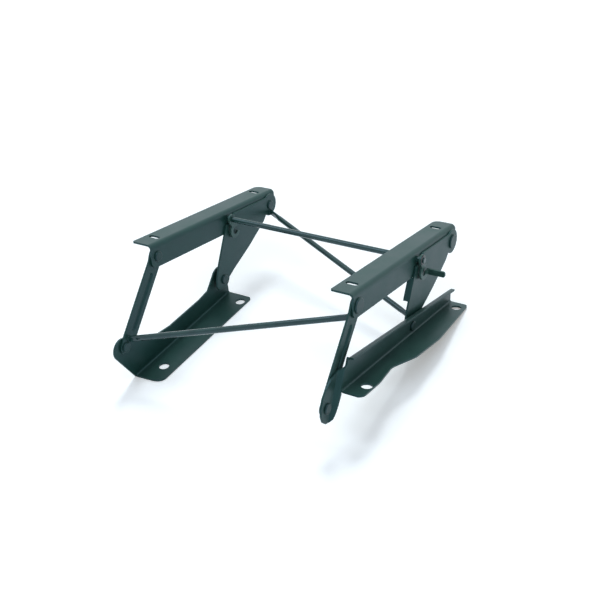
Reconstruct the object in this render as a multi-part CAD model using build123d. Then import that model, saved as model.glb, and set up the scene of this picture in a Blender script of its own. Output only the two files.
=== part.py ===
from build123d import *
import os
from math import acos, atan2, cos, degrees, hypot, pi, radians, sin, tan

# Seat riser: two floor brackets, two links a side and two seat rails, in pressed sheet steel.
# X runs from the left unit to the right one, Y to the rear and Z up, in millimetres.
# It is drawn from the front lower pivots, midway between the rails, with the floor at Z = 0.
# The finished riser is moved so that its origin is midway between the left bracket's floor holes.

# Sheet, gaps and pivots
sheet = 3.0
plate_gap = 0.5
hole_clearance = 0.05
seat_gap = 0.1
shank_radius = 5.0
head_height = 3.0
high_head_radius = 12.0
low_head_radius = 8.3
tail_radius = 8.0
tail_height = 2.0
bend_radius = 3.0

# The linkage, each pivot as (y, z)
track = 360.0
seat_tilt = 11.5
front_low = (0.0, 67.0)
front_high = (107.0, 174.0)
rear_low = (256.0, 44.0)
rear_high = (419.0, 109.0)
ear_radius = 21.0

# Seat rails, along the rail from the front upper pivot and square to it
rail_front = 15.0
rail_rear_margin = 19.0
rail_top = 22.0
rail_height = 40.0
rail_flange = 38.0
rail_bend = 8.0
rail_corner = 12.0
rail_ear_radius = 19.5
slot_width = 9.5
slot_length = 20.0
slot_front = 20.0
slot_rear = 305.0
slot_inset = 22.0
pivot_slot_travel = 5.6
pivot_slot_clearance = 1.2

# Front links
link_front_edge = 12.5
link_rear_edge = 16.5
link_low_radius = 11.5
link_high_radius = 15.5
link_taper = 14.0
groove_width = 10.0
groove_depth = 2.5
groove_slope = 40.0
groove_place = -3.5
groove_low = 27.0
groove_high = 28.0

# Rear links
rear_foot_radius = 16.0
rear_head_radius = 20.0
link_top_margin = 8.0
stiffener_width = 11.0
stiffener_low = 0.20
stiffener_high = 0.75
# Front edge from the foot: the foot's corner, the belly as parts of the way up, the latch corner
rear_link_foot = (-19.0, 8.0)
rear_link_belly = (0.24, 0.30)
rear_link_corner = 11.0
# Rear edge, first from the upper pivot and then from the lower one
rear_edge_high = ((0, 0), (-25, -21), (-43, -29), (-78, -44))
rear_edge_low = ((32, 3), (11, -6), (9, -13), (-5, -16), (-16, -14), (-22, -5))

# Floor brackets
floor_hole_radius = 8.5
left_base_width = 45.0
left_base_front = 10.0
left_base_rear_margin = 20.0
left_front_rounding = 14.0
left_rear_rounding = 9.0
left_base_height = 28.0
# Top edge of the web, first from the rear lower pivot and then from the front lower one
left_edge_rear = ((14.7, -10.5), (0, 0), (-14.7, 14.7), (-36, -6), (-60, -9))
left_edge_front = ((110, -32), (78, -27), (34, -2))
left_ear_centre = (-6.0, 65.0)
left_ear_radius = 18.5
left_hole_front = (27.0, 49.0)
left_hole_rear = (37.0, 257.0)
right_base_front = 28.0
right_base_rear = 405.0
right_rear_width = 32.0
right_web_front = 50.0
right_web_rear = 27.0
right_lip_width = 7.5
right_lip_front = 47.0
right_lip_web = 10.0
right_hole_front = (23.0, 60.0)
right_hole_rear = (20.0, 384.0)
# Outline of the right web's front in its own slope: over the ear and then under it
right_edge_over = ((42, 51), (28, 46), (10, 40), (-3, 31), (-12, 19), (-16, 5))
right_edge_under = ((-15.5, -7), (-11, -18), (-3, -24), (4, -24.5), (9.5, -20.5), (20, -3), (28, 11))
# Wavy edge of the right base as (across, along) from the web and from the base's front
right_base_edge = ((33, -2), (33, 55), (26, 106), (42, 158), (45, 236), (36, 332))
right_edge_rounding = (13, 40, 36, 40, 90)
joggle_place = 11.0
joggle_lean = 20.0
joggle_ease = 2.5

# Rods and latch
rod_radius = 4.75
flat_width = 10.0
flat_thickness = 5.0
flat_length = 30.0
rod_end_margin = 20.0
rod_end_offset = 6.0
rear_rod_inset = 17.0
latch_along = 191.0
latch_up = 8.0
hook_sheet = 3.0
hook_hub_radius = 9.0
striker_offset = (5.0, -24.0)
striker_radius = 5.0
hook_inner_radius = 6.5
hook_outer_radius = 13.5
hand_tab_length = 31.0
hand_tab_height = 10.0
nut_radius = 8.0
nut_thickness = 1.5
spring_wire = 0.8
spring_turns = 4.5
spring_pitch = 1.9
spring_leg = 12.0

# Places worked out from the values above
# Across one unit, X is counted from the outer face of the rail's web.
rail_web = (-sheet, 0.0)
rear_plate = (plate_gap, plate_gap + sheet)
link_plate = (rail_web[0] - plate_gap - sheet, rail_web[0] - plate_gap)
left_web = (link_plate[0] - plate_gap - sheet, link_plate[0] - plate_gap)
right_web = (rear_plate[1] + plate_gap, rear_plate[1] + plate_gap + sheet)
striker_end = rear_plate[1] + 2.5
hook_plate = (striker_end + plate_gap, striker_end + plate_gap + hook_sheet)
unit_x = {"left": -track / 2, "right": track / 2}

tilt = radians(seat_tilt)


def along_rail(y, z):
    """Turn a (y, z) place into rail measures from the front upper pivot."""
    dy = y - front_high[0]
    dz = z - front_high[1]
    return dy * cos(tilt) - dz * sin(tilt), dy * sin(tilt) + dz * cos(tilt)


def rail_place(along, up):
    """Turn rail measures into a (y, z) place."""
    y = front_high[0] + along * cos(tilt) + up * sin(tilt)
    z = front_high[1] - along * sin(tilt) + up * cos(tilt)
    return y, z


rail_pivot = along_rail(*rear_high)
rail_rear = rail_pivot[0] + rail_rear_margin
latch_axis = rail_place(latch_along, latch_up)
striker = (latch_axis[0] + striker_offset[0], latch_axis[1] + striker_offset[1])
link_length = hypot(front_high[0] - front_low[0], front_high[1] - front_low[1])
link_angle = degrees(atan2(front_high[1] - front_low[1], front_high[0] - front_low[0]))
# The right base slopes with the seat and its rear edge meets the floor.
right_base_low = (right_base_rear * sin(tilt) - front_low[1]) / cos(tilt)


def polygon(*corners):
    """Face with straight sides that looks along +Z whichever way round it is drawn."""
    turn = 0
    for here, after in zip(corners, corners[1:] + corners[:1]):
        turn += here[0] * after[1] - after[0] * here[1]
    ordered = corners if turn > 0 else corners[::-1]
    return Polygon(*ordered, align=None)


def side_solid(face, low, high):
    """Stand a face drawn in (y, z) up as a plate from X low to X high."""
    return extrude(Plane.YZ.offset(low) * face, amount=high - low, dir=(1, 0, 0))


def limb(first, first_radius, second, second_radius):
    """Face of two round ends and the tangents that join them."""
    dy = second[0] - first[0]
    dz = second[1] - first[1]
    heading = atan2(dz, dy)
    lean = acos((first_radius - second_radius) / hypot(dy, dz))
    corners = []
    for centre, radius, side in (
        (first, first_radius, 1),
        (second, second_radius, 1),
        (second, second_radius, -1),
        (first, first_radius, -1),
    ):
        turn = heading + side * lean
        corners.append((centre[0] + radius * cos(turn), centre[1] + radius * sin(turn)))
    face = polygon(*corners)
    face += Pos(*first) * Circle(first_radius)
    face += Pos(*second) * Circle(second_radius)
    return face


def round_corners(face, corners):
    """Round the corners of a face, each given as (x, y, radius)."""
    for x, y, radius in corners:
        place = Vector(x, y, 0)
        corner = min(face.vertices(), key=lambda vertex: (Vector(*vertex) - place).length)
        face = fillet(corner, radius)
    return face


def extrude_along(section, start, end):
    """Run a section drawn in (x, z) from Y start to Y end."""
    return extrude(Plane.XZ.offset(-end) * section, amount=end - start, dir=(0, -1, 0))


def pin_hole(place, radius, low, high):
    """Cylinder along X that cuts a round hole."""
    return side_solid(Pos(*place) * Circle(radius), low, high)


def keep_one(shape):
    """Return the largest solid of a shape."""
    return max(shape.solids(), key=lambda solid: solid.volume)


# Seat rail


def seat_rail():
    """Angle rail with a rounded rear ear, seat slots and pivot holes, in rail measures."""
    bottom = rail_top - rail_height
    section = polygon(
        (-rail_flange, rail_top),
        (0, rail_top),
        (0, bottom),
        (-sheet, bottom),
        (-sheet, rail_top - sheet),
        (-rail_flange, rail_top - sheet),
    )
    section = round_corners(
        section,
        ((0, rail_top, rail_bend), (-sheet, rail_top - sheet, rail_bend - sheet)),
    )
    angle = extrude_along(section, -rail_front, rail_rear)
    outline = polygon(
        (-rail_front, rail_top),
        (-rail_front, bottom),
        (rail_pivot[0], bottom),
        (rail_rear, rail_pivot[1]),
        (rail_rear, rail_top),
    )
    outline = round_corners(outline, ((-rail_front, bottom, rail_corner),))
    rail = angle & side_solid(outline, -rail_flange, 0)
    ear = Pos(*rail_pivot) * Circle(rail_ear_radius)
    ear_middle = bottom + rail_height / 2 - rail_bend
    ear &= Pos(rail_pivot[0], ear_middle) * Rectangle(4 * rail_ear_radius, rail_height)
    rail += side_solid(ear, -sheet, 0)
    plan = polygon(
        (-rail_flange, -rail_front),
        (1, -rail_front),
        (1, rail_rear + rail_ear_radius),
        (-rail_flange / 2, rail_rear + rail_ear_radius),
        (-rail_flange / 2, rail_rear),
        (-rail_flange, rail_rear),
    )
    plan = round_corners(plan, ((-rail_flange, rail_rear, rail_corner), (-rail_flange, -rail_front, sheet)))
    trim_height = rail_height + 2 * rail_ear_radius
    rail &= extrude(Plane.XY.offset(bottom - rail_ear_radius) * plan, amount=trim_height, dir=(0, 0, 1))
    for along in (slot_front, slot_rear):
        slot = Pos(-slot_inset, along) * SlotOverall(slot_length, slot_width)
        rail -= extrude(Plane.XY.offset(rail_top - 2 * sheet) * slot, amount=3 * sheet, dir=(0, 0, 1))
    pivot_hole = shank_radius + hole_clearance
    rail -= pin_hole((0, 0), pivot_hole, -2 * sheet, sheet)
    rail -= pin_hole((latch_along, latch_up), rod_radius + hole_clearance, -2 * sheet, sheet)
    slot_half = shank_radius + pivot_slot_clearance
    travel = SlotCenterToCenter(2 * pivot_slot_travel, 2 * slot_half)
    rail -= side_solid(Pos(*rail_pivot) * travel, -2 * sheet, sheet)
    return Pos(0, *front_high) * Rot(-seat_tilt, 0, 0) * keep_one(rail)


# Front link


def groove_solid(width, length, middle, from_x, to_x):
    """Slot-shaped block whose sloping walls narrow towards X to_x, in link measures."""
    narrowing = 2 * abs(from_x - to_x) * tan(radians(groove_slope))
    mouth = Pos(middle, groove_place) * SlotOverall(length, width)
    floor = Pos(middle, groove_place) * SlotOverall(length - narrowing, width - narrowing)
    return loft([Plane.YZ.offset(from_x) * mouth, Plane.YZ.offset(to_x) * floor])


def front_link():
    """Pressed plate with a long stiffening groove between its two round ends."""
    outline = polygon(
        (0, link_low_radius),
        (link_taper, link_front_edge),
        (link_length - link_taper, link_front_edge),
        (link_length, link_high_radius),
        (link_length, -link_high_radius),
        (link_length - link_taper, -link_rear_edge),
        (link_taper, -link_rear_edge),
        (0, -link_low_radius),
    )
    outline += Circle(link_low_radius)
    outline += Pos(link_length, 0) * Circle(link_high_radius)
    link = side_solid(outline, *link_plate)
    # The groove is pressed inwards and stands out as a rib on the back of the plate.
    length = link_length - groove_low - groove_high
    middle = groove_low + length / 2
    wall = sheet / cos(radians(groove_slope)) - sheet * tan(radians(groove_slope))
    link += groove_solid(
        groove_width + 2 * wall, length + 2 * wall, middle, link_plate[0], link_plate[0] - groove_depth
    )
    link -= groove_solid(groove_width, length, middle, link_plate[1], link_plate[1] - groove_depth)
    for place in ((0, 0), (link_length, 0)):
        link -= pin_hole(place, shank_radius + hole_clearance, link_plate[0] - 1, link_plate[1] + 1)
    return Pos(0, *front_low) * Rot(link_angle, 0, 0) * keep_one(link)


# Rear link


def rear_link_edge():
    """Foot, belly and latch corner along the front edge of the rear link."""
    foot = (rear_low[0] + rear_link_foot[0], rear_low[1] + rear_link_foot[1])
    corner = (latch_axis[0] - rear_link_corner, latch_axis[1] - link_top_margin)
    belly = (
        foot[0] + (corner[0] - foot[0]) * rear_link_belly[0],
        foot[1] + (corner[1] - foot[1]) * rear_link_belly[1],
    )
    return foot, belly, corner


def rear_link(has_flange):
    """Three-cornered plate that carries the striker, with a stiffening flange on one side."""
    foot, belly, corner = rear_link_edge()
    step = rail_place(latch_along + rear_link_corner + sheet, rail_top - rail_bend)
    outline = polygon(
        foot,
        belly,
        corner,
        (latch_axis[0] + rear_link_corner - sheet, corner[1]),
        step,
        rail_place(rail_pivot[0] - 2 * sheet, rail_top - rail_bend),
        *((rear_high[0] + y, rear_high[1] + z) for y, z in rear_edge_high),
        *((rear_low[0] + y, rear_low[1] + z) for y, z in rear_edge_low),
    )
    outline = round_corners(outline, ((*corner, 5), (*step, 4)))
    outline += Pos(*rear_low) * Circle(rear_foot_radius)
    outline += Pos(*rear_high) * Circle(rear_head_radius)
    link = side_solid(outline, *rear_plate)
    if has_flange:
        run = hypot(corner[0] - belly[0], corner[1] - belly[1])
        heading = degrees(atan2(corner[1] - belly[1], corner[0] - belly[0]))
        section = polygon(
            (rear_plate[1] - stiffener_width, 0),
            (rear_plate[1], 0),
            (rear_plate[1], -2 * sheet),
            (rear_plate[0], -2 * sheet),
            (rear_plate[0], -sheet),
            (rear_plate[1] - stiffener_width, -sheet),
        )
        section = round_corners(section, ((rear_plate[0], -sheet, bend_radius / 2),))
        flange = extrude_along(section, run * stiffener_low, run * stiffener_high)
        link += Pos(0, *belly) * Rot(heading, 0, 0) * flange
    for place in (rear_low, rear_high):
        link -= pin_hole(place, shank_radius + hole_clearance, -sheet, 3 * sheet)
    link -= pin_hole(striker, striker_radius + hole_clearance, -sheet, 3 * sheet)
    return keep_one(link)


# Floor brackets


def left_bracket():
    """Level angle bracket with a front ear and a rear ear for the two links."""
    base_rear = rear_low[0] + left_base_rear_margin
    outer = left_web[1] + left_base_width
    section = polygon(
        (left_web[0], 0),
        (outer, 0),
        (outer, sheet),
        (left_web[1], sheet),
        (left_web[1], 3 * ear_radius + front_low[1]),
        (left_web[0], 3 * ear_radius + front_low[1]),
    )
    section = round_corners(
        section,
        ((left_web[0], 0, bend_radius + sheet), (left_web[1], sheet, bend_radius)),
    )
    outline = polygon(
        (left_base_front, 0),
        (base_rear, 0),
        (base_rear, left_base_height),
        *((rear_low[0] + y, rear_low[1] + z) for y, z in left_edge_rear),
        *((front_low[0] + y, front_low[1] + z) for y, z in left_edge_front),
        (left_ear_centre[0] + left_ear_radius * 0.6, left_ear_centre[1] + left_ear_radius * 0.8),
        left_ear_centre,
        (left_ear_centre[0] - left_ear_radius * 0.86, left_ear_centre[1] - left_ear_radius * 0.51),
    )
    outline += Pos(*left_ear_centre) * Circle(left_ear_radius)
    outline += Pos(*rear_low) * Circle(ear_radius)
    angle = extrude_along(section, left_base_front, base_rear)
    bracket = angle & side_solid(outline, left_web[0], outer)
    ear_face = outline & Pos(left_base_front - track, 0) * Rectangle(2 * track, 2 * track)
    bracket += side_solid(ear_face, *left_web)
    plan = polygon(
        (left_web[0] - 1, -2 * left_ear_radius),
        (left_web[1] + 1, -2 * left_ear_radius),
        (left_web[1] + 1, left_base_front),
        (outer, left_base_front + sheet),
        (outer, base_rear),
        (left_web[0] - 1, base_rear),
    )
    plan = round_corners(
        plan,
        ((outer, left_base_front + sheet, left_front_rounding), (outer, base_rear, left_rear_rounding)),
    )
    bracket &= extrude(plan, amount=front_low[1] + 3 * ear_radius, dir=(0, 0, 1))
    for across, along in (left_hole_front, left_hole_rear):
        hole = Pos(left_web[1] + across, along) * Circle(floor_hole_radius)
        bracket -= extrude(hole, amount=2 * sheet, dir=(0, 0, 1))
    for place in (front_low, rear_low):
        bracket -= pin_hole(place, shank_radius + hole_clearance, left_web[0] - 1, left_web[1] + 1)
    return keep_one(bracket)


def right_bracket():
    """Sloping bracket: wavy base, lipped web and a joggled ear that reaches down."""
    low = right_base_low
    outer = right_web[1]
    reach = left_base_width + outer
    section = polygon(
        (right_web[0], low),
        (reach + sheet, low),
        (reach + sheet, low + sheet),
        (outer, low + sheet),
        (outer, low + 2 * right_web_front),
        (right_web[0], low + 2 * right_web_front),
    )
    section = round_corners(
        section,
        ((right_web[0], low, bend_radius + sheet), (outer, low + sheet, bend_radius)),
    )
    web_top = low + right_web_front
    top_front = (right_lip_front - 2, web_top - sheet / 2)
    top_rear = (right_base_rear - 2, low + right_web_rear)
    outline = polygon(
        (right_base_front, low),
        (right_base_rear, low),
        top_rear,
        top_front,
        *right_edge_over,
        *right_edge_under,
    )
    bends = [(*top_front, 4), (*right_edge_over[0], 6)]
    for corner in (*right_edge_over[2:], *right_edge_under[:-1]):
        bends.append((*corner, 8 - sheet / 2))
    outline = round_corners(outline, bends)
    # In front of a leaning line the web steps in to the ear.
    step = outer - rail_web[1]
    joint = joggle_place + step + joggle_ease
    bend_top = low + bend_radius + sheet
    ahead = Rot(0, 0, -joggle_lean) * Pos(joint - 2 * track, 0) * Rectangle(4 * track, 4 * track)
    ahead &= Pos(0, bend_top + track) * Rectangle(4 * track, 2 * track)
    angle = extrude_along(section, right_base_front, right_base_rear)
    bracket = angle & side_solid(outline, rail_web[0], reach)
    bracket -= side_solid(ahead, rail_web[0] - 1, reach + 1)
    shift = sheet * tan(pi / 8)
    sheet_plan = polygon(
        (rail_web[1], -track),
        (rail_web[1], joggle_place),
        (outer, joggle_place + step),
        (outer, joint + track),
        (right_web[0], joint + track),
        (right_web[0], joggle_place + step + shift),
        (rail_web[0], joggle_place + shift),
        (rail_web[0], -track),
    )
    sheet_plan = round_corners(
        sheet_plan,
        (
            (rail_web[1], joggle_place, 3),
            (outer, joggle_place + step, 5),
            (right_web[0], joggle_place + step + shift, 3),
            (rail_web[0], joggle_place + shift, 5),
        ),
    )
    joggle = extrude(Plane.XY.offset(-track / 2) * sheet_plan, amount=track, dir=(0, 0, 1))
    joggle = Rot(-joggle_lean, 0, 0) * joggle
    ear_face = outline & ahead
    ear_face += outline & Pos(right_base_front - track, 0) * Rectangle(2 * track, 4 * track)
    bracket += joggle & side_solid(ear_face, rail_web[0], outer)
    # Lip rolled over along the top of the web
    slope = degrees(atan2(top_front[1] - top_rear[1], top_rear[0] - top_front[0]))
    lip_section = polygon(
        (right_web[0], -right_lip_web),
        (right_web[0], 0),
        (outer + right_lip_width, 0),
        (outer + right_lip_width, -sheet),
        (outer, -sheet),
        (outer, -right_lip_web),
    )
    lip_section = round_corners(
        lip_section,
        ((right_web[0], 0, bend_radius + sheet), (outer, -sheet, bend_radius)),
    )
    lip_length = (right_base_rear - right_lip_front) / cos(radians(slope))
    lip = extrude_along(lip_section, 0, lip_length - sheet)
    lip_at = (right_lip_front, top_front[1] - (right_lip_front - top_front[0]) * tan(radians(slope)))
    trim = Pos(lip_length / 2, 0) * Rectangle(lip_length, right_lip_web)
    bracket -= Pos(0, *lip_at) * Rot(-slope, 0, 0) * side_solid(trim, right_web[0] - 1, outer + 1)
    bracket += Pos(0, *lip_at) * Rot(-slope, 0, 0) * lip
    wave = [(outer + across, right_base_front + along) for across, along in right_base_edge]
    plan = polygon(
        (rail_web[0] - 1, -track),
        (outer + 1, -track),
        (outer + 1, right_base_front),
        *wave,
        (outer + right_rear_width, right_base_rear),
        (rail_web[0] - 1, right_base_rear),
    )
    bends = [(*corner, radius) for corner, radius in zip(wave, right_edge_rounding)]
    bends.append((outer + right_rear_width, right_base_rear, 8))
    plan = round_corners(plan, bends)
    bracket &= extrude(Plane.XY.offset(-track / 2) * plan, amount=track, dir=(0, 0, 1))
    for across, along in (right_hole_front, right_hole_rear):
        hole = Pos(outer + across, along) * Circle(floor_hole_radius)
        bracket -= extrude(Plane.XY.offset(low - sheet) * hole, amount=3 * sheet, dir=(0, 0, 1))
    rear_in_slope = (
        rear_low[0] * cos(tilt) - (rear_low[1] - front_low[1]) * sin(tilt),
        rear_low[0] * sin(tilt) + (rear_low[1] - front_low[1]) * cos(tilt),
    )
    for place in ((0, 0), rear_in_slope):
        bracket -= pin_hole(place, shank_radius + hole_clearance, rail_web[0] - 1, outer + 1)
    return Pos(0, *front_low) * Rot(-seat_tilt, 0, 0) * keep_one(bracket)


# Rivets, pins and spacers


def disc(place, radius, low, high, edge, domed_high):
    """Round head along X with one softened rim."""
    head = pin_hole(place, radius, low, high)
    rims = head.edges().filter_by(GeomType.CIRCLE).sort_by(Axis.X)
    return fillet(rims[-1] if domed_high else rims[0], edge)


def pivot_rivet(place, head_face, tail_face, head_radius):
    """Rivet with its low-domed head towards +X and its tail towards -X."""
    rivet = pin_hole(place, shank_radius, tail_face, head_face)
    rivet += disc(place, head_radius, head_face, head_face + head_height, head_height * 0.6, True)
    rivet += disc(place, tail_radius, tail_face - tail_height, tail_face, tail_height * 0.5, False)
    return rivet


def striker_pin():
    """Short stud riveted flush into the rear link."""
    return disc(striker, striker_radius, rear_plate[0], striker_end, 0.8, True)


def spacer():
    """Tube that fills the space between the left bracket and the rear link."""
    low = left_web[1] + seat_gap
    high = rear_plate[0] - seat_gap
    tube = pin_hole(rear_low, tail_radius, low, high)
    return tube - pin_hole(rear_low, shank_radius + hole_clearance, low - 1, high + 1)


# Rods


def brace_rod(start, end):
    """Round rod whose two ends are pressed flat and cut square to X."""
    run = Vector(*end) - Vector(*start)
    length = run.length
    heading = run.normalized()
    up = (Vector(0, 0, 1) - heading * heading.Z).normalized()
    overrun = 2 * flat_width
    frame = Plane(origin=start, x_dir=heading.cross(up), z_dir=heading)
    body = extrude(frame.offset(flat_length) * Circle(rod_radius), amount=length - 2 * flat_length)
    flat = RectangleRounded(flat_thickness, flat_width, flat_thickness * 0.45)
    half_way = flat_length / 2
    for near, middle, far in (
        (flat_length, half_way, -overrun),
        (length - flat_length, length - half_way, length + overrun),
    ):
        body += loft([frame.offset(near) * Circle(rod_radius), frame.offset(middle) * flat])
        tip = frame.offset(min(middle, far)) * flat
        body += extrude(tip, amount=abs(far - middle))
    width = end[0] - start[0]
    slab = Pos((start[0] + end[0]) / 2, 0, 0) * Box(width, 4 * track, 4 * track)
    return keep_one(body & slab)


def cross_rod():
    """Straight round rod that turns in both rail webs."""
    low = unit_x["left"] + rail_web[0] - plate_gap - 2 * nut_thickness
    high = unit_x["right"] + hook_plate[1] + plate_gap + 2 * nut_thickness
    rod = pin_hole(latch_axis, rod_radius, low, high)
    return chamfer(rod.edges().filter_by(GeomType.CIRCLE), 0.8)


# Latch


def hook_face():
    """Hub, neck and open ring of the latch hook, drawn in (y, z)."""
    ring = Circle(hook_outer_radius) - Circle(hook_inner_radius)
    mouth = polygon(
        (0, 0),
        (2 * hook_outer_radius, 3 * hook_outer_radius),
        (3 * hook_outer_radius, 0),
        (2 * hook_outer_radius, -hook_outer_radius),
    )
    ring = Pos(*striker) * (ring - mouth)
    middle = (hook_outer_radius + hook_inner_radius) / 2
    root = (striker[0] - middle * 0.35, striker[1] + middle * 0.94)
    hub = limb(latch_axis, hook_hub_radius, root, (hook_outer_radius - hook_inner_radius) / 2)
    return ring + hub


def latch_hook():
    """Plate hook fixed on the cross rod."""
    hook = side_solid(hook_face(), *hook_plate)
    return keep_one(hook - pin_hole(latch_axis, rod_radius, -track, track))


def release_lever():
    """The right hook, which carries on into a hand tab bent outwards."""
    lever = side_solid(hook_face(), *hook_plate)
    lip = (striker[0] + hook_outer_radius * 0.70, striker[1] - hook_outer_radius * 0.62)
    root = Pos(lip[0] + 1.5, lip[1] + 0.5) * RectangleRounded(11, hand_tab_height, 1.4)
    lever += side_solid(root, *hook_plate)
    tab = Pos(lip[0] + 5.5, lip[1] + 0.5) * Rectangle(sheet, hand_tab_height)
    bar = side_solid(tab, hook_plate[0], hook_plate[0] + hand_tab_length)
    tip = bar.edges().filter_by(Axis.Y).sort_by(Axis.X)[-2:]
    lever += fillet(tip, hand_tab_height * 0.35)
    return keep_one(lever - pin_hole(latch_axis, rod_radius, -track, track))


def push_nut(low):
    """Round push nut on the end of the cross rod."""
    nut = disc(latch_axis, nut_radius, low, low + nut_thickness, 0.6, True)
    return nut - pin_hole(latch_axis, rod_radius, low - 1, low + 2)


def return_spring():
    """Torsion spring round the cross rod inside the right rail, with both legs down."""
    coil_radius = rod_radius + 4 * hole_clearance + 2 * spring_wire
    start = rail_web[0] - plate_gap - spring_wire
    steps = int(12 * spring_turns)
    path = [(start, -coil_radius, -spring_leg)]
    for step in range(steps + 1):
        turn = 2 * pi * spring_turns * step / steps
        across = start - spring_pitch * spring_turns * step / steps
        path.append((across, -coil_radius * cos(turn), coil_radius * sin(turn)))
    path.append((start - spring_pitch * spring_turns, coil_radius, -spring_leg))
    wire_line = Spline(path)
    wire = sweep(Plane(wire_line @ 0, z_dir=wire_line % 0) * Circle(spring_wire), path=wire_line)
    return Pos(0, *latch_axis) * wire


# Every piece at its place


def place_units(parts):
    """Gather the pieces of both units under their names."""
    rail = seat_rail()
    link = front_link()
    for side, x in unit_x.items():
        across = Pos(x, 0, 0)
        parts[side + "_upper_rail"] = across * rail
        parts[side + "_front_link"] = across * link
        parts[side + "_rear_link"] = across * rear_link(side == "right")
        parts[side + "_striker"] = across * striker_pin()
        head_radius = low_head_radius if side == "left" else high_head_radius
        parts[side + "_front_upper_rivet"] = across * pivot_rivet(
            front_high, rail_web[1], link_plate[0], head_radius
        )
        parts[side + "_rear_upper_rivet"] = across * pivot_rivet(
            rear_high, rear_plate[1], rail_web[0] - plate_gap, head_radius
        )
    left = Pos(unit_x["left"], 0, 0)
    right = Pos(unit_x["right"], 0, 0)
    parts["left_lower_bracket"] = left * left_bracket()
    parts["right_lower_bracket"] = right * right_bracket()
    parts["left_front_lower_rivet"] = left * pivot_rivet(
        front_low, link_plate[1], left_web[0], low_head_radius
    )
    parts["right_front_lower_rivet"] = right * pivot_rivet(
        front_low, rail_web[1], link_plate[0], low_head_radius
    )
    parts["left_rear_lower_rivet"] = left * pivot_rivet(
        rear_low, rear_plate[1], left_web[0], low_head_radius
    )
    parts["right_rear_lower_rivet"] = right * pivot_rivet(
        rear_low, right_web[1], rear_plate[0], low_head_radius
    )
    parts["left_rear_spacer"] = left * spacer()


def place_rods(parts):
    """Add the braces, the cross rod and the latch."""
    toward = (cos(radians(link_angle)), sin(radians(link_angle)))
    start_at = low_head_radius + flat_width / 2 + seat_gap
    start_y = front_low[0] + toward[0] * start_at
    start_z = front_low[1] + toward[1] * start_at
    end_at = link_length - rod_end_margin
    end_y = front_low[0] + toward[0] * end_at - toward[1] * rod_end_offset
    end_z = front_low[1] + toward[1] * end_at + toward[0] * rod_end_offset
    parts["front_diagonal_rod"] = brace_rod(
        (unit_x["left"] + link_plate[1], start_y, start_z),
        (unit_x["right"] + link_plate[0], end_y, end_z),
    )
    rear_start_z = rear_high[1] - low_head_radius - flat_width / 2 - 8 * seat_gap
    parts["rear_diagonal_rod"] = brace_rod(
        (unit_x["left"] + rear_plate[1], rear_high[0] - 1, rear_start_z),
        (unit_x["right"] + rear_plate[0], rear_low[0] + rear_rod_inset, rear_low[1] + 1),
    )
    parts["release_cross_rod"] = cross_rod()
    parts["left_latch_hook"] = Pos(unit_x["left"], 0, 0) * latch_hook()
    parts["release_lever"] = Pos(unit_x["right"], 0, 0) * release_lever()
    parts["left_push_nut"] = push_nut(unit_x["left"] + rail_web[0] - plate_gap - nut_thickness)
    parts["right_push_nut"] = push_nut(unit_x["right"] + hook_plate[1])
    parts["return_spring"] = Pos(unit_x["right"], 0, 0) * return_spring()


riser = {}
place_units(riser)
place_rods(riser)
origin_x = unit_x["left"] + left_web[1] + (left_hole_front[0] + left_hole_rear[0]) / 2
origin_y = (left_hole_front[1] + left_hole_rear[1]) / 2
os.makedirs("parts", exist_ok=True)
for node, shape in riser.items():
    export_step(Pos(-origin_x, -origin_y, 0) * shape, "parts/" + node + ".step")
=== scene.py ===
import math
import bpy
import bmesh
from mathutils import Matrix, Vector


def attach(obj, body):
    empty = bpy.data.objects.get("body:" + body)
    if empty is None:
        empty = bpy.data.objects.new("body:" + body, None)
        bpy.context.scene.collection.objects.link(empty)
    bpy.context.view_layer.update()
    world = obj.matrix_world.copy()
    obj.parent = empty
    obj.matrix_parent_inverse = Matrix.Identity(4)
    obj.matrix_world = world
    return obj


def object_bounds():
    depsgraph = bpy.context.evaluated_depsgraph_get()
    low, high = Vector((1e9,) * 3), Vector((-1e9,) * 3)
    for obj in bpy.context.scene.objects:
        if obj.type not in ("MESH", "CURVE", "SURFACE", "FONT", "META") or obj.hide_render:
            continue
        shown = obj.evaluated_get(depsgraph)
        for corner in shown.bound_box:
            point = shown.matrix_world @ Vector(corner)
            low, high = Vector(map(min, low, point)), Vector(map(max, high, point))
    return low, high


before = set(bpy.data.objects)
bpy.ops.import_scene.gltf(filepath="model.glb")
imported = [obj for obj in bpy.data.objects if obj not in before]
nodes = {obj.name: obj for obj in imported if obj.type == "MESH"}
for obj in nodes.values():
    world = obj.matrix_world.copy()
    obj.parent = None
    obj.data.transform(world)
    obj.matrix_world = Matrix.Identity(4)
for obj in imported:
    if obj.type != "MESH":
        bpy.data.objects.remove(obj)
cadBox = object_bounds()
mm = 0.001  # the scene is in metres
print("frame loaded:", len(nodes), "nodes")


# Colours are written as sRGB hex and used as linear.
def linear(hexText):
    values = [int(hexText[i:i + 2], 16) / 255 for i in (1, 3, 5)]
    return [v / 12.92 if v <= 0.04045 else ((v + 0.055) / 1.055) ** 2.4 for v in values] + [1.0]


# One node with its settings and links; an input is a value or another node's output.
def addNode(tree, kind, inputs=None, **settings):
    node = tree.nodes.new(kind)
    for name, value in settings.items():
        setattr(node, name, value)
    for key, value in (inputs or {}).items():
        if isinstance(value, bpy.types.NodeSocket):
            tree.links.new(value, node.inputs[key])
        else:
            node.inputs[key].default_value = value
    return node


def newMaterial(name):
    material = bpy.data.materials.new(name)
    material.use_nodes = True
    material.node_tree.nodes.clear()
    return material, material.node_tree


# A ramp from one colour to another over part of a pattern's range
def colourBlend(tree, source, span, hexTexts):
    ramp = addNode(tree, "ShaderNodeValToRGB", {"Fac": source})
    for element, position, hexText in zip(ramp.color_ramp.elements, span, hexTexts):
        element.position = position
        element.color = linear(hexText)
    return ramp.outputs["Color"]


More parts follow.
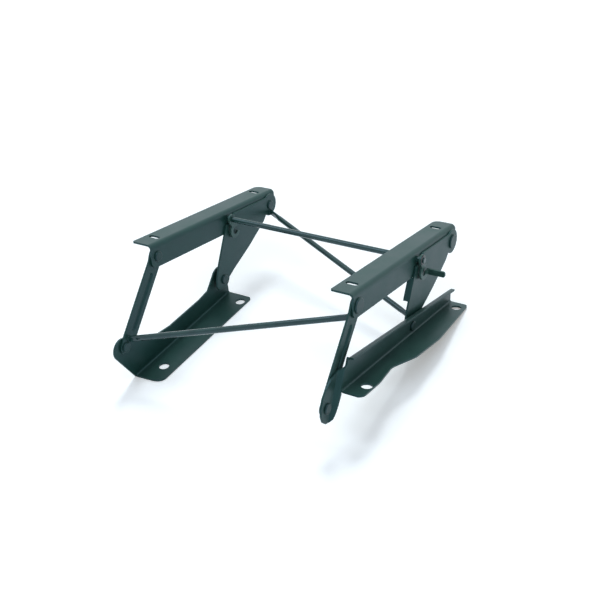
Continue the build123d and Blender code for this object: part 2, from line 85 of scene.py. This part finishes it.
# Gloss black enamel sprayed over pressed steel: a deep green-black that mirrors its surroundings
# softly, with a slight orange peel, thin dust on what faces up and a soft highlight on each edge.
def sprayedEnamel(name, look):
    material, tree = newMaterial(name)
    place = addNode(tree, "ShaderNodeTexCoord").outputs["Object"]
    peel = addNode(tree, "ShaderNodeTexNoise", {
        "Vector": place, "Scale": 1 / (look["peelSize"] * mm), "Detail": 2.0, "Roughness": 0.5})
    sag = addNode(tree, "ShaderNodeTexNoise", {
        "Vector": place, "Scale": 1 / (look["sagSize"] * mm), "Detail": 3.0, "Roughness": 0.6})
    colour = colourBlend(tree, sag.outputs["Fac"], look["thinning"], (look["colour"], look["thinColour"]))
    gloss = addNode(tree, "ShaderNodeMapRange", {
        "Value": sag.outputs["Fac"], "From Min": look["dulling"][0], "From Max": look["dulling"][1],
        "To Min": look["roughness"][0], "To Max": look["roughness"][1]})
    # what faces up holds a little dust
    facing = addNode(tree, "ShaderNodeNewGeometry").outputs["Normal"]
    up = addNode(tree, "ShaderNodeSeparateXYZ", {"Vector": facing}).outputs["Z"]
    grit = addNode(tree, "ShaderNodeTexNoise", {
        "Vector": place, "Scale": 1 / (look["dustSize"] * mm), "Detail": 4.0, "Roughness": 0.7})
    dustPlace = addNode(tree, "ShaderNodeMapRange", {
        "Value": up, "From Min": look["dustSlope"][0], "From Max": look["dustSlope"][1],
        "To Min": 0.0, "To Max": look["dust"]})
    dust = addNode(tree, "ShaderNodeMath", {
        0: dustPlace.outputs["Result"], 1: grit.outputs["Fac"]}, operation="MULTIPLY")
    dusty = addNode(tree, "ShaderNodeMix", {
        "Factor": dust.outputs["Value"], "A": colour, "B": linear(look["dustColour"])}, data_type="RGBA")
    rounded = addNode(tree, "ShaderNodeBevel", {"Radius": look["edge"] * mm}, samples=6)
    bump = addNode(tree, "ShaderNodeBump", {
        "Height": peel.outputs["Fac"], "Strength": look["peel"], "Distance": look["peelDepth"] * mm,
        "Normal": rounded.outputs["Normal"]})
    shader = addNode(tree, "ShaderNodeBsdfPrincipled", {
        "Base Color": dusty.outputs["Result"], "Roughness": gloss.outputs["Result"],
        "Normal": bump.outputs["Normal"], "Metallic": 0.0, "IOR": look["ior"],
        # Specular Tint is painted light: a blue cast on every reflection, standing in for the bluish light
        # around the riser
        "Specular Tint": linear(look["paintedBlueReflection"]), "Coat Weight": look["lacquer"],
        "Coat Roughness": look["lacquerRoughness"], "Coat Normal": bump.outputs["Normal"]})
    addNode(tree, "ShaderNodeOutputMaterial", {"Surface": shader.outputs["BSDF"]})
    return material


pressingLook = {
    "colour": "#183a34",
    "thinColour": "#20423b",
    "thinning": (0.35, 0.70),   # part of the patches' noise over which the colour thins
    "roughness": (0.36, 0.46),
    "dulling": (0.30, 0.70),    # part of the same noise over which the gloss falls off
    "ior": 1.5,
    "lacquer": 0.0,             # share of clear lacquer over the colour: none on the pressings
    "lacquerRoughness": 0.08,
    "paintedBlueReflection": "#a6cbe8",         # painted light: a blue cast on every reflection, standing in for the bluish light around the riser
    "peelSize": 2.2,            # mm between the bumps of the orange peel
    "peelDepth": 0.02,          # mm
    "peel": 0.35,
    "sagSize": 45.0,            # mm across a patch where the spray lies thinner
    "dustSize": 1.3,            # mm, drawn coarser than real dust so that it shows
    "dustSlope": (0.5, 1.0),    # how far a face looks up where dust starts and where it is full
    "dust": 0.08,
    "dustColour": "#7c8a86",
    "edge": 0.7,                # mm of soft highlight at each edge
}
sprayedPressing = sprayedEnamel("gloss black enamel sprayed on pressed steel", pressingLook)

# The drawn bar takes the same enamel, thinner and glossier under a little clear lacquer, so that a
# narrow line of light runs along each rod.
rodLook = dict(
    pressingLook, colour="#183632", thinColour="#234540", roughness=(0.16, 0.24), lacquer=0.35,
    peelSize=1.6, peel=0.2, sagSize=30.0, dust=0.03)
sprayedRod = sprayedEnamel("gloss black enamel sprayed on drawn bar", rodLook)

# On the upset rivets the enamel breaks up over the hammered heads, so they look rougher.
rivetLook = dict(
    pressingLook, colour="#15302b", thinColour="#26423c", roughness=(0.30, 0.46),
    peelSize=1.2, peel=0.7, sagSize=7.0)
sprayedRivet = sprayedEnamel("black enamel on upset rivet heads", rivetLook)

# Blanked plate keeps sharper edges, and the hooks and lever take a paler copy of the enamel.
latchLook = dict(
    pressingLook, colour="#2f4c44", thinColour="#3d5c53", roughness=(0.30, 0.44), sagSize=12.0, edge=0.45)
sprayedLatch = sprayedEnamel("black enamel on blanked plate", latchLook)


# Oil-blackened spring steel, as the wire was drawn: a dark metal with fine lines and a soft, uneven gleam.
def oiledSpringSteel(name, look):
    material, tree = newMaterial(name)
    place = addNode(tree, "ShaderNodeTexCoord").outputs["Object"]
    stretched = addNode(tree, "ShaderNodeMapping", {"Vector": place, "Scale": look["markShape"]})
    marks = addNode(tree, "ShaderNodeTexNoise", {
        "Vector": stretched.outputs["Vector"], "Scale": 1 / (look["markSize"] * mm), "Detail": 3.0})
    colour = colourBlend(tree, marks.outputs["Fac"], look["wear"], (look["colour"], look["worn"]))
    gloss = addNode(tree, "ShaderNodeMapRange", {
        "Value": marks.outputs["Fac"], "To Min": look["roughness"][0], "To Max": look["roughness"][1]})
    bump = addNode(tree, "ShaderNodeBump", {
        "Height": marks.outputs["Fac"], "Strength": look["markStrength"],
        "Distance": look["markDepth"] * mm})
    shader = addNode(tree, "ShaderNodeBsdfPrincipled", {
        "Base Color": colour, "Roughness": gloss.outputs["Result"],
        "Normal": bump.outputs["Normal"], "Metallic": 1.0})
    addNode(tree, "ShaderNodeOutputMaterial", {"Surface": shader.outputs["BSDF"]})
    return material


springLook = {
    "colour": "#3a3d3f",
    "worn": "#5a5f62",
    "wear": (0.35, 0.65),          # part of the marks' noise over which the paler steel comes through
    "roughness": (0.28, 0.42),
    "markSize": 1.5,               # mm between die marks, drawn coarser than real ones so that they show
    "markShape": (1.0, 6.0, 6.0),  # the marks are drawn out along the cross rod
    "markDepth": 0.01,             # mm
    "markStrength": 0.3,
}
blackenedSpring = oiledSpringSteel("oil-blackened spring steel wire", springLook)

# The rim's cut edge keeps no soft highlight, so that its lap over the base doesn't show as a line.
rimPaint = dict(pressingLook, edge=0.0)
sprayedRim = sprayedEnamel("gloss black enamel sprayed on a cut sheet edge", rimPaint)
print("materials made")


# Every CAD node takes the finish of its making.
finishes = {
    "lower_bracket": sprayedPressing,
    "upper_rail": sprayedPressing,
    "front_link": sprayedPressing,
    "rear_link": sprayedPressing,
    "rod": sprayedRod,
    "rivet": sprayedRivet,
    "spacer": sprayedRivet,
    "striker": sprayedRivet,
    "hook": sprayedLatch,
    "lever": sprayedLatch,
    "nut": blackenedSpring,
    "spring": blackenedSpring,
}
for name, node in nodes.items():
    finish = next(material for ending, material in finishes.items() if name.endswith(ending))
    node.data.materials.clear()
    node.data.materials.append(finish)
print("finishes given to", len(nodes), "nodes")


# Weld beads where the flattened rod ends meet their plates, each a ring of overlapping ripples
weldLook = {
    "leg": 1.5,           # mm from the corner to the bead's surface
    "valley": 0.82,       # share of the leg that is left between two ripples
    "wander": 0.10,       # share of the leg by which an uneven hand thickens or thins the bead
    "wanderTurns": 2.3,   # how fast that changes round the bead
    "wanderStart": 0.6,   # radians
    "lift": 0.15,         # share of the leg by which the bead stands off the plate
    "ripple": 1.9,        # mm between ripples
    "step": 0.45,         # mm between rings of the mesh
    "sides": 10,
    "endDepth": 0.05,     # mm within which a point belongs to the rod's end face
}


# The rod's outline where it meets the plate, as points in order round its middle
def endOutline(node, atHigh):
    places = [node.matrix_world @ vertex.co for vertex in node.data.vertices]
    edge = (max if atHigh else min)(place.x for place in places)
    rim = [place for place in places if abs(place.x - edge) < weldLook["endDepth"] * mm]
    middle = sum(rim, Vector()) / len(rim)
    rim.sort(key=lambda place: math.atan2(place.z - middle.z, place.y - middle.y))
    return rim, middle


# Points at even steps along the closed outline, and its length
def evenPoints(rim, spacing):
    runs = [(rim[(i + 1) % len(rim)] - rim[i]).length for i in range(len(rim))]
    length = sum(runs)
    count = round(length / spacing)
    points, run, start = [], 0, 0.0
    for i in range(count):
        along = length * i / count
        while run < len(rim) - 1 and along > start + runs[run]:
            start += runs[run]
            run += 1
        share = (along - start) / runs[run] if runs[run] else 0.0
        points.append(rim[run].lerp(rim[(run + 1) % len(rim)], share))
    return points, length


# One bead round the rod's low or high end in X, thickest on each ripple
def weldBead(name, body, node, atHigh):
    rim, middle = endOutline(node, atHigh)
    points, length = evenPoints(rim, weldLook["step"] * mm)
    inward = -1 if atHigh else 1
    ripples = round(length / (weldLook["ripple"] * mm))
    mesh = bmesh.new()
    rings = []
    for i, point in enumerate(points):
        turn = 2 * math.pi * i / len(points)
        wave = 0.5 + 0.5 * math.cos(turn * ripples)
        unsteady = math.sin(weldLook["wanderTurns"] * turn + weldLook["wanderStart"]) * math.sin(turn / 2)
        swell = weldLook["valley"] + (1 - weldLook["valley"]) * wave ** 0.5 + weldLook["wander"] * unsteady
        leg = weldLook["leg"] * mm * swell
        out = Vector((0, point.y - middle.y, point.z - middle.z)).normalized()
        along = Vector((inward, 0, 0))
        ring = []
        for k in range(weldLook["sides"]):
            bend = 2 * math.pi * k / weldLook["sides"]
            off = weldLook["lift"] + math.sin(bend)
            ring.append(mesh.verts.new(point + out * leg * math.cos(bend) + along * leg * off))
        rings.append(ring)
    for i in range(len(rings)):
        here, after = rings[i], rings[(i + 1) % len(rings)]
        for k in range(weldLook["sides"]):
            m = (k + 1) % weldLook["sides"]
            mesh.faces.new((here[k], after[k], after[m], here[m]))
    bmesh.ops.recalc_face_normals(mesh, faces=mesh.faces)
    data = bpy.data.meshes.new(name)
    mesh.to_mesh(data)
    mesh.free()
    data.polygons.foreach_set("use_smooth", [True] * len(data.polygons))
    bead = bpy.data.objects.new(name, data)
    bpy.context.collection.objects.link(bead)
    data.materials.append(sprayedRivet)
    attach(bead, body)


weldBead("front_rod_left_weld", "front_links", nodes["front_diagonal_rod"], False)
weldBead("front_rod_right_weld", "front_links", nodes["front_diagonal_rod"], True)
weldBead("rear_rod_left_weld", "rear_links", nodes["rear_diagonal_rod"], False)
weldBead("rear_rod_right_weld", "rear_links", nodes["rear_diagonal_rod"], True)
print("weld beads laid")

# Outer rim of the left base: the sheet reaches a little past the solid's edge, so that metal closes
# round the rear floor hole. Sizes are in mm, places from the midpoint between the two floor holes.
rimLook = {
    "widen": 3.5,
    "lap": 1.0,              # by which it laps over the solid
    "frontEnd": -126.0,      # where the straight edge meets the front corner's round
    "frontRound": 14.0,
    "rearRound": 6.0,
    "solidRearRound": 9.0,   # the solid's own rear corner
    "hole": (5.0, 104.0),    # the rear floor hole's centre
    "holeRadius": 8.5,
    "sheet": 3.0,            # thickness
    "proud": 0.02,           # by which it lies above the solid's faces, so that no two are in one plane
}


# Points of an arc from one angle to another, in degrees from X towards Y
def arcPoints(centre, radius, start, end, count=12):
    x, y = centre
    angles = [math.radians(start + (end - start) * i / count) for i in range(count + 1)]
    return [(x + radius * math.cos(angle), y + radius * math.sin(angle)) for angle in angles]


# The strip runs round the front corner, the rear corner, then back along the solid and round the hole.
def baseRim(name, base, look):
    corners = [base.matrix_world @ Vector(corner) / mm for corner in base.bound_box]
    solidEdge = max(corner.x for corner in corners)
    rearEdge = max(corner.y for corner in corners)
    inner = solidEdge - look["lap"]
    outer = solidEdge + look["widen"]
    frontRound, rearRound, solidRound = look["frontRound"], look["rearRound"], look["solidRearRound"]
    half = math.degrees(math.acos((inner - look["hole"][0]) / look["holeRadius"]))
    outline = arcPoints((outer - frontRound, look["frontEnd"]), frontRound, -90, 0)
    outline += arcPoints((outer - rearRound, rearEdge - rearRound), rearRound, 0, 90)
    outline += arcPoints((solidEdge - solidRound, rearEdge - solidRound), solidRound - look["lap"], 90, 0)
    outline += arcPoints(look["hole"], look["holeRadius"], half, -half)
    outline += arcPoints((solidEdge - frontRound, look["frontEnd"]), frontRound - look["lap"], 0, -90)
    mesh = bmesh.new()
    low = [mesh.verts.new((x * mm, y * mm, look["proud"] * mm)) for x, y in outline]
    high = [mesh.verts.new((x * mm, y * mm, (look["sheet"] + look["proud"]) * mm)) for x, y in outline]
    mesh.faces.new(low[::-1])
    mesh.faces.new(high)
    for i in range(len(outline)):
        j = (i + 1) % len(outline)
        mesh.faces.new((low[i], low[j], high[j], high[i]))
    data = bpy.data.meshes.new(name)
    mesh.to_mesh(data)
    mesh.free()
    rim = bpy.data.objects.new(name, data)
    bpy.context.collection.objects.link(rim)
    data.materials.append(sprayedRim)
    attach(rim, "floor_brackets")


baseRim("left_base_rim", nodes["left_lower_bracket"], rimLook)
print("base rim added")


# Floor and backdrop: white, with a soft shadow near the riser and none further off
floorLook = {
    "size": 8.0,                   # m
    "middle": (0.155, 0.07, 0.0),  # m, under the middle of the riser
    "drop": 0.2,                   # mm below the soles, so that no two faces lie in one plane
    "colour": "#e9f2f6",
    "glow": (0.32, 1.2),           # brightness that holds no shadow, near the riser and far off
    "fade": (0.5, 1.5),            # m from the middle over which the one turns into the other
    "glowTint": "#fffaf5",         # warm, against the cool lamps, so that the floor stays white
}


# 1 on rays that show the background: straight to the camera, mirrored, or through something clear
def seenRays(tree):
    rays = addNode(tree, "ShaderNodeLightPath")
    mirrored = addNode(tree, "ShaderNodeMath", {
        0: rays.outputs["Is Camera Ray"], 1: rays.outputs["Is Glossy Ray"]}, operation="MAXIMUM")
    seen = addNode(tree, "ShaderNodeMath", {
        0: mirrored.outputs["Value"], 1: rays.outputs["Is Transmission Ray"]}, operation="MAXIMUM")
    return seen.outputs["Value"]


floorMesh = bpy.data.meshes.new("floor")
half = floorLook["size"] / 2
floorCorners = [(-half, -half, 0), (half, -half, 0), (half, half, 0), (-half, half, 0)]
floorMesh.from_pydata(floorCorners, [], [(0, 1, 2, 3)])
floor = bpy.data.objects.new("floor", floorMesh)
bpy.context.collection.objects.link(floor)
floor.location = floorLook["middle"]
floor.location.z = cadBox[0][2] - floorLook["drop"] * mm
floorPaper, tree = newMaterial("matt white paper sweep")
paper = addNode(tree, "ShaderNodeBsdfDiffuse", {"Color": linear(floorLook["colour"])})
spot = addNode(tree, "ShaderNodeNewGeometry").outputs["Position"]
away = addNode(tree, "ShaderNodeVectorMath", {0: spot, 1: floorLook["middle"]}, operation="DISTANCE")
level = addNode(tree, "ShaderNodeMapRange", {
    "Value": away.outputs["Value"], "From Min": floorLook["fade"][0], "From Max": floorLook["fade"][1],
    "To Min": floorLook["glow"][0], "To Max": floorLook["glow"][1]})
glow = addNode(tree, "ShaderNodeEmission", {
    "Color": linear(floorLook["glowTint"]), "Strength": level.outputs["Result"]})
both = addNode(tree, "ShaderNodeAddShader", {0: paper.outputs["BSDF"], 1: glow.outputs["Emission"]})
shown = addNode(tree, "ShaderNodeMixShader", {
    "Fac": seenRays(tree), 1: paper.outputs["BSDF"], 2: both.outputs["Shader"]})
addNode(tree, "ShaderNodeOutputMaterial", {"Surface": shown.outputs["Shader"]})
floorMesh.materials.append(floorPaper)

# World: white where it is seen or mirrored, a plain grey level where it lights
worldLook = {"light": 0.26, "tint": "#eaf1f6"}
world = bpy.data.worlds.new("studio")
bpy.context.scene.world = world
world.use_nodes = True
tree = world.node_tree
tree.nodes.clear()
plain = addNode(tree, "ShaderNodeBackground", {
    "Color": linear(worldLook["tint"]), "Strength": worldLook["light"]})
white = addNode(tree, "ShaderNodeBackground", {"Color": linear("#ffffff"), "Strength": 1.0})
sky = addNode(tree, "ShaderNodeMixShader", {
    "Fac": seenRays(tree), 1: plain.outputs["Background"], 2: white.outputs["Background"]})
addNode(tree, "ShaderNodeOutputWorld", {"Surface": sky.outputs["Shader"]})

# A low window behind the riser that puts a little blue on the seat flanges, a broad panel overhead
# that draws the line of light along each rod, and a key from behind on the left that casts the shadow.
# The key shows in no reflection, or it would lie as a pale patch on the left base.
lampAim = Vector((0.155, 0.072, 0.065))
lampLook = {
    "window": {
        "kind": "AREA", "place": (-0.85, 1.75, 0.42), "size": (2.0, 0.76), "power": 0.7,
        "colour": "#7fb0ff", "mirrored": True},
    "panel": {
        "kind": "AREA", "place": (0.155, -0.2, 1.5), "size": (2.2, 0.65), "power": 13.0,
        "colour": "#eaf2ff", "mirrored": True},
    "key": {
        "kind": "SUN", "place": (-0.145, 0.782, 1.045), "angle": 19.0, "power": 1.65,
        "colour": "#ffffff", "mirrored": False},
}
for name, look in lampLook.items():
    lamp = bpy.data.lights.new(name, look["kind"])
    lamp.energy = look["power"]
    lamp.color = linear(look["colour"])[:3]
    if look["kind"] == "AREA":
        lamp.shape = "RECTANGLE"
        lamp.size, lamp.size_y = look["size"]
    else:
        lamp.angle = math.radians(look["angle"])
    holder = bpy.data.objects.new(name, lamp)
    bpy.context.collection.objects.link(holder)
    holder.location = look["place"]
    holder.rotation_euler = (lampAim - Vector(look["place"])).to_track_quat("-Z", "Y").to_euler()
    holder.visible_glossy = look["mirrored"]
print("stage and light set")

# Camera at the photograph's angle; its axes come from the fitted view.
cameraLook = {
    "across": 31.39,      # degrees round from the front
    "height": 23.8,       # degrees above the rails' plane
    "railSlope": 11.1,    # degrees that the rails' plane leans down to the rear
    "roll": 0.26,         # degrees
    "distance": 1.6477,   # m from the point aimed at
    "lens": 60.48,        # mm
    "sensor": 36.0,       # mm
    "aim": (0.155, 0.0717, 0.0646),
}
across = math.radians(cameraLook["across"])
height = math.radians(cameraLook["height"])
back = Vector((math.sin(across) * math.cos(height), -math.cos(across) * math.cos(height), math.sin(height)))
right = Vector((math.cos(across), math.sin(across), 0))
up = back.cross(right)
roll = math.radians(cameraLook["roll"])
right, up = right * math.cos(roll) + up * math.sin(roll), up * math.cos(roll) - right * math.sin(roll)
lean = Matrix.Rotation(-math.radians(cameraLook["railSlope"]), 3, "X")
right, up, back = lean @ right, lean @ up, lean @ back
lensData = bpy.data.cameras.new("camera")
lensData.lens = cameraLook["lens"]
lensData.sensor_width = cameraLook["sensor"]
lensData.sensor_fit = "HORIZONTAL"
camera = bpy.data.objects.new("camera", lensData)
bpy.context.collection.objects.link(camera)
axes = Matrix((right, up, back)).transposed().to_4x4()
axes.translation = Vector(cameraLook["aim"]) + back * cameraLook["distance"]
camera.matrix_world = axes
bpy.context.scene.camera = camera
bpy.context.scene.view_settings.view_transform = "Standard"
print("camera set")
